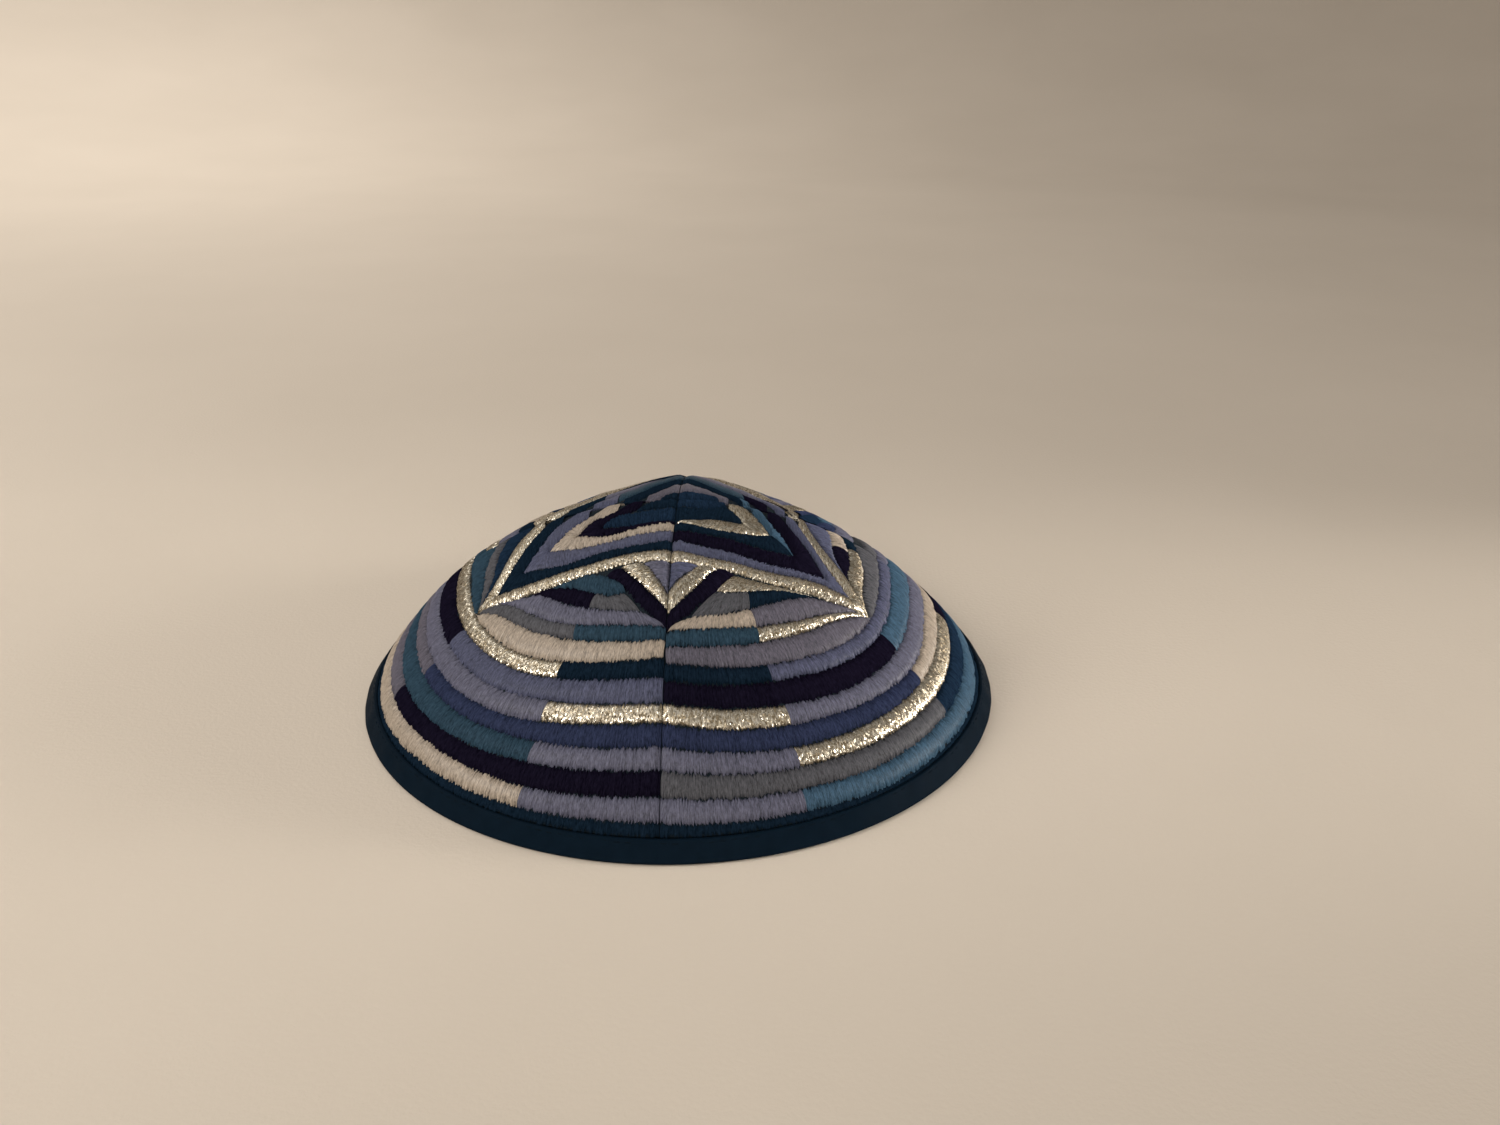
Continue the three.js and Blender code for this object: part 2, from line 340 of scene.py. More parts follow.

# %% [markdown]
# ## The threads
# The embroidery is rayon thread, which is glossy along its length, and flat metal thread, which sparkles.
# All rayon colours share one recipe: the colour, lighter and darker from thread to thread, and darker with a
# painted shade in the hollows, with fine fibre ridges that run along the thread. Its lighter fibre streaks
# are partly the fibres' own tone and partly painted glints. A UV map holds the distance across and along the
# threads, so the ridges turn with the stitches.


# %% Mix a rayon thread
def rayon_thread(name, colour, gloss=0.4):
    """Glossy thread: a dark and a light version of a colour mixed by fibre streaks and by thread tone with
    painted hollow shade; the light end is partly a painted glint. Fibre ridges run along it.
    """
    specular = max(0.0, 1.6 * sum(colour) / 3 - 0.05)
    material, shader = start_material(name, gloss, specular)
    shader.inputs["Sheen Weight"].default_value = 0.25
    shader.inputs["Sheen Roughness"].default_value = 0.5
    shader.inputs["Sheen Tint"].default_value = (*[min(1.0, 3.4 * c) for c in colour], 1)
    # dark and light versions of the colour: the light end of the fibre streaks is partly fibre tone, partly
    # painted glints
    dark = [c * 0.4 for c in colour]
    light = [min(1.0, c * 1.75 + 0.004) for c in colour]
    tint = mixed_tint(material, dark, light)
    # the attribute holds each thread's random tone together with the painted shade of the hollows
    shade = add_node(material, "Attribute", attribute_name="thread_tone_and_hollow_shade")
    run = add_node(material, "UVMap", uv_map="thread_run")
    stretch = add_node(material, "Mapping", {"Scale": (34.0, 7.0, 1.0)})
    fibre = add_node(material, "TexNoise", {"Scale": 1.0, "Detail": 3.0, "Roughness": 0.75})
    fibre_tone_and_glint = add_node(material, "MapRange", {"From Min": 0.32, "From Max": 0.7})
    blend = add_node(material, "Math", {1: 0.85}, operation="MULTIPLY_ADD")
    bump = add_node(material, "Bump", {"Strength": 0.5, "Distance": 0.00012})
    wire(
        material,
        (run.outputs["UV"], stretch.inputs["Vector"]),
        (stretch.outputs["Vector"], fibre.inputs["Vector"]),
        (fibre.outputs["Fac"], fibre_tone_and_glint.inputs["Value"]),
        (fibre_tone_and_glint.outputs["Result"], blend.inputs[0]),
        (shade.outputs["Fac"], blend.inputs[2]),
        (blend.outputs["Value"], tint.inputs["Factor"]),
        (tint.outputs["Result"], shader.inputs["Base Color"]),
        (fibre.outputs["Fac"], bump.inputs["Height"]),
        (bump.outputs["Normal"], shader.inputs["Normal"]),
    )
    return material


# %% [markdown]
# Metal thread is a narrow foil wound round a core. Each turn of the foil faces its own way, so a few turns
# flash and the others stay dark. A cell pattern gives each turn its own tilt and roughness, and a painted
# brightness that runs from a dark facet to a bright glint.


# %% Mix a metal thread
def metal_thread(name, colour, painted_dark_facet):
    """Foil thread: metal broken into small facets by a cell pattern, each facet's colour painted from a dark
    facet to a bright glint.
    """
    material, shader = start_material(name, 0.5, 0.5)
    shader.inputs["Metallic"].default_value = 1.0
    run = add_node(material, "UVMap", uv_map="thread_run")
    stretch = add_node(material, "Mapping", {"Scale": (33.0, 20.0, 1.0)})
    turns = add_node(material, "TexVoronoi", {"Scale": 1.0})
    centred = add_node(material, "VectorMath", {1: (0.5, 0.5, 0.5)}, operation="SUBTRACT")
    tilt = add_node(material, "VectorMath", operation="SCALE")
    tilt.inputs["Scale"].default_value = 0.7
    surface = add_node(material, "NewGeometry")
    tilted = add_node(material, "VectorMath", operation="ADD")
    unit = add_node(material, "VectorMath", operation="NORMALIZE")
    flash = add_node(
        material, "MapRange", {"From Min": 0.45, "From Max": 0.9, "To Min": 0.42, "To Max": 0.2}
    )
    # the cells' base colour runs from dark to bright: painted glints and painted dark facets
    tint = add_node(material, "ValToRGB")
    shades = tint.color_ramp.elements
    shades[0].position = 0.2
    shades[0].color = (*painted_dark_facet, 1)
    shades[1].position = 0.8
    shades[1].color = (*colour, 1)
    shades.new(0.55).color = (*[(c + 2 * d) / 3 for c, d in zip(colour, painted_dark_facet)], 1)
    wire(
        material,
        (run.outputs["UV"], stretch.inputs["Vector"]),
        (stretch.outputs["Vector"], turns.inputs["Vector"]),
        (turns.outputs["Color"], centred.inputs[0]),
        (centred.outputs["Vector"], tilt.inputs[0]),
        (surface.outputs["Normal"], tilted.inputs[0]),
        (tilt.outputs["Vector"], tilted.inputs[1]),
        (tilted.outputs["Vector"], unit.inputs[0]),
        (unit.outputs["Vector"], shader.inputs["Normal"]),
        (turns.outputs["Color"], flash.inputs["Value"]),
        (flash.outputs["Result"], shader.inputs["Roughness"]),
        (turns.outputs["Color"], tint.inputs["Fac"]),
        (tint.outputs["Color"], shader.inputs["Base Color"]),
    )
    return material


# %% Colours of the thread
thread_colours = {
    "teal": (0.0188, 0.0412, 0.0645),
    "teal_blue": (0.0361, 0.0755, 0.121),
    "dark_teal": (0.0036, 0.0105, 0.0212),
    "navy": (0.0069, 0.0173, 0.0367),
    "indigo": (0.0195, 0.0265, 0.0605),
    "lavender": (0.09, 0.091, 0.132),
    "lavender_deep": (0.0627, 0.0683, 0.1142),
    "lavender_grey": (0.085, 0.08, 0.104),
    "dark_purple": (0.0042, 0.003, 0.01),
    "cream": (0.3, 0.25, 0.202),
    "grey": (0.067, 0.0679, 0.0777),
}
threads = {name: rayon_thread("thread_" + name, colour) for name, colour in thread_colours.items()}
# silver: a bright colour for the painted glints and a dark colour for the painted dark facets
threads["silver"] = metal_thread("thread_silver", (1.0, 0.93, 0.79), (0.19, 0.153, 0.1))
thread_order = list(threads)
print("threads", thread_order)

# %% [markdown]
# ## How a satin stripe is sewn
# A satin stripe lies between two edges, and its threads cross it side by side. Where the needle goes in
# is never quite even, so each thread gets its own small overshoot. The padding below lifts the middle, so
# across a stripe the depth follows a dome. Each thread has a line of points on its crest, with one in the
# hollow to the next thread between them, which makes the fine ridges catch the light. The hollow points are
# also darkened in colour, a painted shade between the threads.
#
# The pattern is drawn on a flat map of the cap: a point's distance from the middle is its share of the
# way from crown to rim, in percent, and its direction is its azimuth, with the front seam downwards.

# %% Room for the stitches of each panel
thread_pitch = 0.32
rows_across = (1 - np.cos(np.pi * np.linspace(0, 1, 9))) / 2
random_numbers = np.random.default_rng(7)
stitch_foot = 0.85
shortest_end, longest_end = -0.3, 0.65
silver_evenness = 0.5
# the third number darkens the colour of the hollow points: painted shade between the threads
hollow_depth, hollow_short, hollow_painted_shade = 0.1, 0.4, 0.14
seam_margin = 0.09
all_round = (-181, 181)
sewn = {
    name: {"points": [], "quads": [], "material": [], "shade": [], "run": [], "count": 0}
    for name in panel_names
}


# %% Sew one stripe
def from_map(points):
    """Share of the way down and azimuth of points of the flat map."""
    return np.hypot(points[..., 0], points[..., 1]) / 100, np.arctan2(points[..., 0], -points[..., 1])


def sew_stripe(colour, edge_a, edge_b, height=stitch_height, span=all_round):
    """Threads from edge_a to edge_b, two arrays of map points where the same row is the same thread.

    The depth across a stripe is the foot's less the height times (1 - |2v - 1|^2.8)^0.6, v being the share
    across. Every second column lies in the hollow between two threads, a little deeper and shorter, and its
    colour is darker with a painted shade.
    Only the threads between the two azimuths of the span are sewn.
    """
    ends_a, ends_b = cap_point(*from_map(edge_a)), cap_point(*from_map(edge_b))
    steps = np.linalg.norm(np.diff(ends_a, axis=0), axis=1) + np.linalg.norm(np.diff(ends_b, axis=0), axis=1)
    travelled = np.append(0, np.cumsum(steps / 2)) / MM
    count = max(3, round(travelled[-1] / thread_pitch))
    stations = np.linspace(0, travelled[-1], 2 * count + 1)
    a = np.stack([np.interp(stations, travelled, edge_a[:, k]) for k in (0, 1)], axis=-1)
    b = np.stack([np.interp(stations, travelled, edge_b[:, k]) for k in (0, 1)], axis=-1)
    width = np.linalg.norm(b - a, axis=1, keepdims=True)
    heading = (b - a) / np.maximum(width, 1e-6)
    overshoot = random_numbers.uniform(shortest_end, longest_end, (2, count + 1, 1))
    overshoot = overshoot * (silver_evenness if colour == "silver" else 1.0)
    which = np.minimum(np.arange(2 * count + 1) // 2, count)
    room = np.minimum(1, width / 2.5)
    hollow = (np.arange(2 * count + 1) % 2 == 0)[:, None]
    drawn_in = np.where(hollow, hollow_short, 0.0)
    a = a - heading * (overshoot[0][which] - drawn_in) * room
    b = b + heading * (overshoot[1][which] - drawn_in) * room
    grid = a[:, None, :] + (b - a)[:, None, :] * rows_across[None, :, None]
    dome = (1 - np.abs(2 * rows_across - 1) ** 2.8) ** 0.6
    lift = height * np.minimum(1, 0.25 + width / 3.0)
    swell = 1 + 0.02 * random_numbers.standard_normal(count + 1)[which][:, None]
    depth = stitch_foot - lift * dome[None, :] * swell
    depth = depth + np.where(hollow, hollow_depth * (0.35 + 0.65 * dome[None, :]), 0.0)
    along, azimuth = from_map(grid)
    shade = np.clip(0.08 + 0.07 * random_numbers.standard_normal(count + 1)[which], -0.1, 0.3)[:, None]
    # random tone for each thread, less a painted shade on the hollow columns between threads
    shade = np.broadcast_to(shade, depth.shape) - np.where(hollow, hollow_painted_shade, 0.0)
    run = np.stack(np.broadcast_arrays(stations[:, None] / 10, width * rows_across[None, :] / 10), axis=-1)
    middle = from_map(grid[:, len(rows_across) // 2])[1]
    inside = (np.degrees(middle) >= span[0]) & (np.degrees(middle) <= span[1])
    panel = np.floor((middle % (2 * np.pi)) / (np.pi / 2)).astype(int) % 4
    for k, name in enumerate(panel_names):
        columns = (panel == k) & inside
        if columns.sum() > 1:
            lay_threads(sewn[name], k, colour, columns, along, azimuth, depth, shade, run)


# %% [markdown]
# A stripe may run over a seam, but the panels were embroidered before they were sewn together. So each
# thread belongs to one panel, and its points are held back at that panel's sides.


# %% Lay a stripe's threads on one panel
def lay_threads(panel, k, colour, columns, along, azimuth, depth, shade, run):
    """Points of the chosen columns, with quads between neighbours, wound so that they face outwards."""
    start = k * np.pi / 2
    radius = np.maximum(np.interp(along, curve_share, curve_radius), 0.5)
    margin = np.minimum(seam_margin / radius, 0.7)
    turn = np.mod(azimuth - start + np.pi / 4, 2 * np.pi) - np.pi / 4
    held = start + np.clip(turn, margin, np.pi / 2 - margin)
    points = cap_point(along, held, depth)
    total, across = depth.shape
    number = np.full(total, -1)
    number[columns] = np.arange(columns.sum())
    left = np.flatnonzero(columns[:-1] & columns[1:])
    if len(left) == 0:
        return
    ids = panel["count"] + number[:, None] * across + np.arange(across)[None, :]
    quads = np.stack([ids[left, :-1], ids[left, 1:], ids[left + 1, 1:], ids[left + 1, :-1]], axis=-1)
    m = left[len(left) // 2]
    facing = np.cross(points[m, -1] - points[m, 0], points[m + 1, across // 2] - points[m, across // 2])
    if facing @ (cap_point(along[m, 4], held[m, 4], -1.0) - cap_point(along[m, 4], held[m, 4], 0.0)) < 0:
        quads = quads[..., ::-1]
    quads = quads.reshape(-1, 4)
    panel["points"].append(points[columns].reshape(-1, 3))
    panel["quads"].append(quads)
    panel["material"].append(np.full(len(quads), thread_order.index(colour)))
    panel["shade"].append(np.broadcast_to(shade, depth.shape)[columns].ravel())
    panel["run"].append(run[columns].reshape(-1, 2))
    panel["count"] += int(columns.sum()) * across


# %% [markdown]
# ## The rings
# Eight stripes run round the cap between the star and the tape. Each edge between two of them rises towards
# the seams, so a table gives its share of the way down at eleven azimuths, once for the right half and
# once for the left. The back half repeats them mirrored, because the photograph doesn't show it.

# %% Table of the rings' edges
ring_azimuth = np.array([0, 8, 16, 24, 32, 40, 50, 60, 70, 80, 90])
ring_edges = {
    "right": np.array(
        [
            (0.567, 0.572, 0.577, 0.581, 0.585, 0.591, 0.598, 0.598, 0.578, 0.555, 0.535),
            (0.608, 0.614, 0.619, 0.623, 0.627, 0.634, 0.639, 0.637, 0.621, 0.592, 0.572),
            (0.657, 0.667, 0.676, 0.683, 0.691, 0.698, 0.700, 0.695, 0.682, 0.658, 0.640),
            (0.702, 0.716, 0.727, 0.733, 0.737, 0.742, 0.747, 0.749, 0.740, 0.712, 0.695),
            (0.752, 0.764, 0.775, 0.782, 0.786, 0.788, 0.788, 0.785, 0.777, 0.763, 0.748),
            (0.802, 0.814, 0.822, 0.828, 0.832, 0.835, 0.835, 0.835, 0.829, 0.815, 0.800),
            (0.857, 0.866, 0.871, 0.874, 0.879, 0.882, 0.882, 0.880, 0.876, 0.867, 0.857),
            (0.911, 0.915, 0.918, 0.920, 0.925, 0.930, 0.931, 0.929, 0.927, 0.920, 0.912),
            (0.939, 0.939, 0.939, 0.940, 0.941, 0.941, 0.941, 0.941, 0.941, 0.940, 0.939),
        ]
    ),
    "left": np.array(
        [
            (0.553, 0.558, 0.566, 0.576, 0.587, 0.595, 0.598, 0.595, 0.587, 0.578, 0.565),
            (0.599, 0.603, 0.610, 0.621, 0.631, 0.637, 0.640, 0.639, 0.634, 0.625, 0.612),
            (0.657, 0.660, 0.667, 0.676, 0.686, 0.694, 0.697, 0.694, 0.688, 0.683, 0.675),
            (0.702, 0.707, 0.716, 0.728, 0.739, 0.746, 0.748, 0.747, 0.741, 0.731, 0.720),
            (0.751, 0.759, 0.767, 0.773, 0.779, 0.784, 0.786, 0.784, 0.777, 0.768, 0.757),
            (0.800, 0.807, 0.815, 0.821, 0.827, 0.833, 0.836, 0.837, 0.832, 0.820, 0.806),
            (0.856, 0.862, 0.868, 0.873, 0.875, 0.876, 0.877, 0.880, 0.879, 0.870, 0.858),
            (0.909, 0.911, 0.914, 0.916, 0.919, 0.920, 0.921, 0.926, 0.925, 0.919, 0.911),
            (0.939, 0.939, 0.939, 0.940, 0.941, 0.941, 0.941, 0.941, 0.941, 0.940, 0.939),
        ]
    ),
}

# %% [markdown]
# Along a ring the thread changes colour about a quarter of the way round a panel and again beside the
# star's points. The tables give each ring's colours and the azimuth at which each begins.

# %% Tables of the rings' colours
ring_colours = {
    "front_right": [
        [(0, "dark_teal"), (25.5, "lavender_deep")],
        [(0, "dark_purple"), (63, "teal_blue")],
        [(0, "silver"), (26, "lavender")],
        [(0, "indigo"), (62, "cream")],
        [(0, "lavender"), (25, "silver")],
        [(0, "grey"), (62, "navy")],
        [(0, "lavender"), (24, "teal_blue")],
        [(0, "dark_teal")],
    ],
    "front_left": [
        [(0, "dark_teal"), (26.5, "silver")],
        [(0, "lavender_deep"), (64, "dark_purple")],
        [(0, "silver"), (25.7, "lavender")],
        [(0, "indigo"), (63, "lavender_grey")],
        [(0, "lavender"), (25, "teal")],
        [(0, "dark_purple"), (66, "lavender_grey")],
        [(0, "lavender"), (24, "cream")],
        [(0, "dark_teal")],
    ],
    "back_right": [
        [(0, "lavender"), (32, "dark_teal"), (60, "silver")],
        [(0, "teal_blue"), (32, "indigo"), (60, "dark_purple")],
        [(0, "lavender"), (34, "silver"), (60, "cream")],
        [(0, "cream"), (32, "dark_purple"), (62, "indigo")],
        [(0, "dark_purple"), (33, "lavender"), (61, "teal")],
        [(0, "navy"), (32, "grey"), (62, "lavender_grey")],
        [(0, "teal_blue"), (34, "lavender"), (64, "silver")],
        [(0, "dark_teal")],
    ],
    "back_left": [
        [(0, "silver"), (32, "lavender_deep"), (60, "dark_teal")],
        [(0, "dark_purple"), (32, "teal"), (60, "lavender")],
        [(0, "lavender"), (34, "cream"), (60, "silver")],
        [(0, "lavender_grey"), (32, "navy"), (62, "indigo")],
        [(0, "teal"), (33, "silver"), (61, "lavender")],
        [(0, "lavender_grey"), (32, "dark_purple"), (62, "grey")],
        [(0, "cream"), (34, "teal_blue"), (64, "lavender")],
        [(0, "dark_teal")],
    ],
}
panel_side = {"front_right": "right", "back_right": "right", "back_left": "left", "front_left": "left"}


# %% Sew the rings
def soften(values, width=9):
    """Running mean with its ends held, so that a table's corners don't show."""
    padded = np.pad(values, width, mode="reflect", reflect_type="odd")
    return np.convolve(padded, np.full(2 * width + 1, 1 / (2 * width + 1)), mode="valid")


def ring_path(panel, share, first, last):
    """Map points of one ring edge, between two distances in degrees from the panel's front or side seam."""
    in_front = panel.startswith("front")
    half_degrees = np.linspace(0, 90, 181)
    fine = np.linspace(first, last, 300)
    even = soften(np.interp(half_degrees, ring_azimuth, share))
    smooth = np.interp(fine if in_front else 90 - fine, half_degrees, even)
    turn = np.radians(fine if in_front else 90 + fine)
    side = 1 if panel.endswith("right") else -1
    return np.stack([100 * smooth * np.sin(turn) * side, -100 * smooth * np.cos(turn)], axis=-1)


seam_keep = 0.05
strip_height = 0.5
for panel, rings in ring_colours.items():
    table = ring_edges[panel_side[panel]]
    for k, ring in enumerate(rings):
        starts = [start for start, _ in ring] + [90]
        for (first, colour), last in zip(ring, starts[1:]):
            reach = (first + (seam_keep if first == 0 else 0), last - (seam_keep if last == 90 else 0))
            top, low = ring_path(panel, table[k], *reach), ring_path(panel, table[k + 1], *reach)
            sew_stripe(colour, top, low, height=stitch_height if k < 7 else strip_height)
print("rings sewn, points so far", {name: sewn[name]["count"] for name in panel_names})

# %% [markdown]
# ## The star
# The star is two triangles, one laid over the other. The upper one is outlined in silver, with a point at
# the left, the right and the back, and smaller triangles nest inside it. A table gives each nested line's
# points on the flat map: along the base from the front seam to the point, and from there along the side to
# the back seam. Threads fan round each point, where one arm meets the next.

# %% Tables of the star's nested lines
star_base = {
    "right": [
        [(0.05, -28.5), (15, -28.9), (25, -29.0), (37, -27.9), (45, -26.7), (52.6, -25.8)],
        [(0.05, -24.4), (11.6, -25.2), (25.5, -25.0), (39.7, -22.9), (46.3, -23.0)],
        [(0.05, -20.5), (11.4, -21.5), (25.3, -22.3), (32.8, -21.6), (39.0, -20.5)],
        [(0.05, -16.3), (11.2, -16.2), (18, -16.9), (29.9, -16.9)],
        [(0.05, -12.6), (6.3, -13.2), (11.1, -13.6), (17.9, -12.9), (23.8, -11.1)],
        [(3.4, -12.2), (8, -9.8), (16.7, -8.9)],
    ],
    "left": [
        [(-0.05, -28.4), (-11, -27.2), (-18.6, -28.0), (-33.6, -28.6), (-41.8, -27.6), (-53.5, -24.9)],
        [(-0.05, -24.3), (-8.5, -23.6), (-22.4, -24.4), (-37.8, -24.2), (-47.2, -22.5)],
        [(-0.05, -20.4), (-11.5, -20.7), (-17, -20.6), (-27, -21.7), (-38.9, -19.2)],
        [(-0.05, -16.1), (-9, -16.4), (-15.9, -16.9), (-23.1, -16.8), (-31.7, -14.6)],
        [(-0.05, -12.6), (-7.9, -13.2), (-16.1, -14.6), (-24.5, -12.0)],
        [(-0.05, -11.6), (-6.6, -11.7), (-12.1, -12.0), (-18.2, -10.8)],
    ],
}
star_side = {
    "right": [
        [(0.05, 50), (11, 34), (22, 18), (30.6, 3.1), (34.1, -5), (39.8, -12), (43.7, -15.5),
         (52.6, -25.8)],
        [(0.05, 43), (9, 30), (18.6, 16), (26, 6), (28.3, 0.8), (32, -5.6), (38.5, -15), (46.3, -23.0)],
        [(0.05, 34.5), (8, 23.5), (16, 13), (22.4, 5), (26.8, -2.7), (30.6, -8.2), (35.4, -14.6),
         (39, -20.5)],
        [(0.05, 24.5), (6, 17), (13, 8), (19, 1.5), (23.3, -5.6), (26.4, -10.3), (29.9, -16.9)],
        [(0.05, 15), (5.8, 11), (10, 6), (13.6, 2.5), (16.4, -0.5), (20.1, -5.1), (23.8, -11.1)],
        [(0.05, 6), (6.8, 5.2), (9.6, 1.5), (11.5, -2), (14.5, -5.2), (16.7, -8.9)],
    ],
    "left": [
        [(-0.05, 50), (-11.5, 33.5), (-24, 15.5), (-32.2, 4.6), (-36, -0.5), (-40, -4.6),
         (-45.9, -15.4), (-53.5, -24.9)],
        [(-0.05, 43), (-10, 28.5), (-20, 13.5), (-27, 4.2), (-33.4, -2.4), (-37.7, -7.8),
         (-43.9, -17.7), (-47.2, -22.5)],
        [(-0.05, 34.5), (-8.5, 22), (-17, 9.5), (-23, 1.6), (-27.5, -2.6), (-30.7, -5.2),
         (-32.7, -8.4), (-36, -14), (-38.9, -19.2)],
        [(-0.05, 24.5), (-6.5, 14.5), (-13, 4), (-18.3, -1.6), (-22.7, -4.8), (-26, -7.5),
         (-31.7, -14.6)],
        [(-0.05, 15), (-4.8, 7.5), (-9.5, 1), (-14, -3.2), (-17.6, -5), (-20.5, -6.2), (-24.5, -12.0)],
        [(-0.05, 6), (-3, 2.4), (-6.4, -1.6), (-10.6, -5.2), (-15.4, -6.8), (-18.2, -10.8)],
    ],
}


# %% Draw smooth lines and pair them up
def smooth_path(points):
    """Curve through the points: between two of them a cubic, with the slopes of the points beside them."""
    p = np.asarray(points, dtype=float)
    if len(p) > 2:
        distance = np.append(0, np.cumsum(np.linalg.norm(np.diff(p, axis=0), axis=1)))
        slope = np.gradient(p, distance, axis=0)
        fine = np.linspace(0, distance[-1], 200)
        i = np.clip(np.searchsorted(distance, fine) - 1, 0, len(p) - 2)
        step = (distance[i + 1] - distance[i])[:, None]
        u = ((fine - distance[i]) / step[:, 0])[:, None]
        p = cubic(u, p[i], slope[i] * step, p[i + 1], slope[i + 1] * step)
    return p


def at_distances(path, wanted):
    """Points of a path at distances from its start."""
    distance = np.append(0, np.cumsum(np.linalg.norm(np.diff(path, axis=0), axis=1)))
    return np.stack([np.interp(wanted, distance, path[:, k]) for k in (0, 1)], axis=-1), distance[-1]


def even_points(path):
    """Points spread evenly along a path."""
    return at_distances(path, np.linspace(0, at_distances(path, 0)[1], 300))[0]


def side_by_side(points_a, points_b):
    """Two edges with the same number of points, spread evenly along each."""
    return even_points(smooth_path(points_a)), even_points(smooth_path(points_b))


def fanned(points_a, points_b):
    """Outer and inner edge of an arm: level with each other, and at the end fanned from the inner corner."""
    a, b = smooth_path(points_a), smooth_path(points_b)
    wanted = np.linspace(0, at_distances(a, 0)[1], 300)
    return at_distances(a, wanted)[0], at_distances(b, np.minimum(wanted, at_distances(b, 0)[1]))[0]


# %% Sew the nested triangles
# outline first, then inwards; where a side changes colour, the azimuth at which it does
star_colours = {
    "right": {
        "base": ["silver", "lavender_deep", "dark_purple", "dark_teal", "silver"],
        "side": ["silver", "lavender_deep", "dark_purple", "teal_blue", "silver"],
        "back": ["silver", "lavender", "teal", "dark_teal", "lavender_grey"],
    },
    "left": {
        "base": ["silver", "dark_teal", "lavender_deep", "cream", "dark_purple"],
        "side": ["silver", "dark_teal", "lavender_deep", "cream", "dark_purple"],
        "back": ["silver", "lavender", "teal", "dark_teal", "lavender_grey"],
    },
}
back_change = {"right": [118, 118, 118, 100, 90], "left": [118, 118, 112, 90, 90]}
outline_height, nested_height = 1.15, 0.8
for side, sign in (("right", 1), ("left", -1)):
    colours = star_colours[side]
    for k in range(5):
        lift = outline_height if k == 0 else nested_height
        sew_stripe(colours["base"][k], *fanned(star_base[side][k], star_base[side][k + 1]), height=lift)
        a, b = fanned(star_side[side][k], star_side[side][k + 1])
        change = back_change[side][k]
        sew_stripe(colours["side"][k], a, b, height=lift, span=sorted((0, sign * change)))
        sew_stripe(colours["back"][k], a, b, height=lift, span=sorted((sign * change, sign * 181)))
print("nested triangles sewn")

# %% [markdown]
# Inside the smallest triangle lies a dark field, and outside the outline the lower triangle's point shows
# at the front seam as a dark V with a silver one inside it. Short stripes fill the corners between the two
# triangles and the first ring. Each has a row below: its colour and its two edges on the flat map.

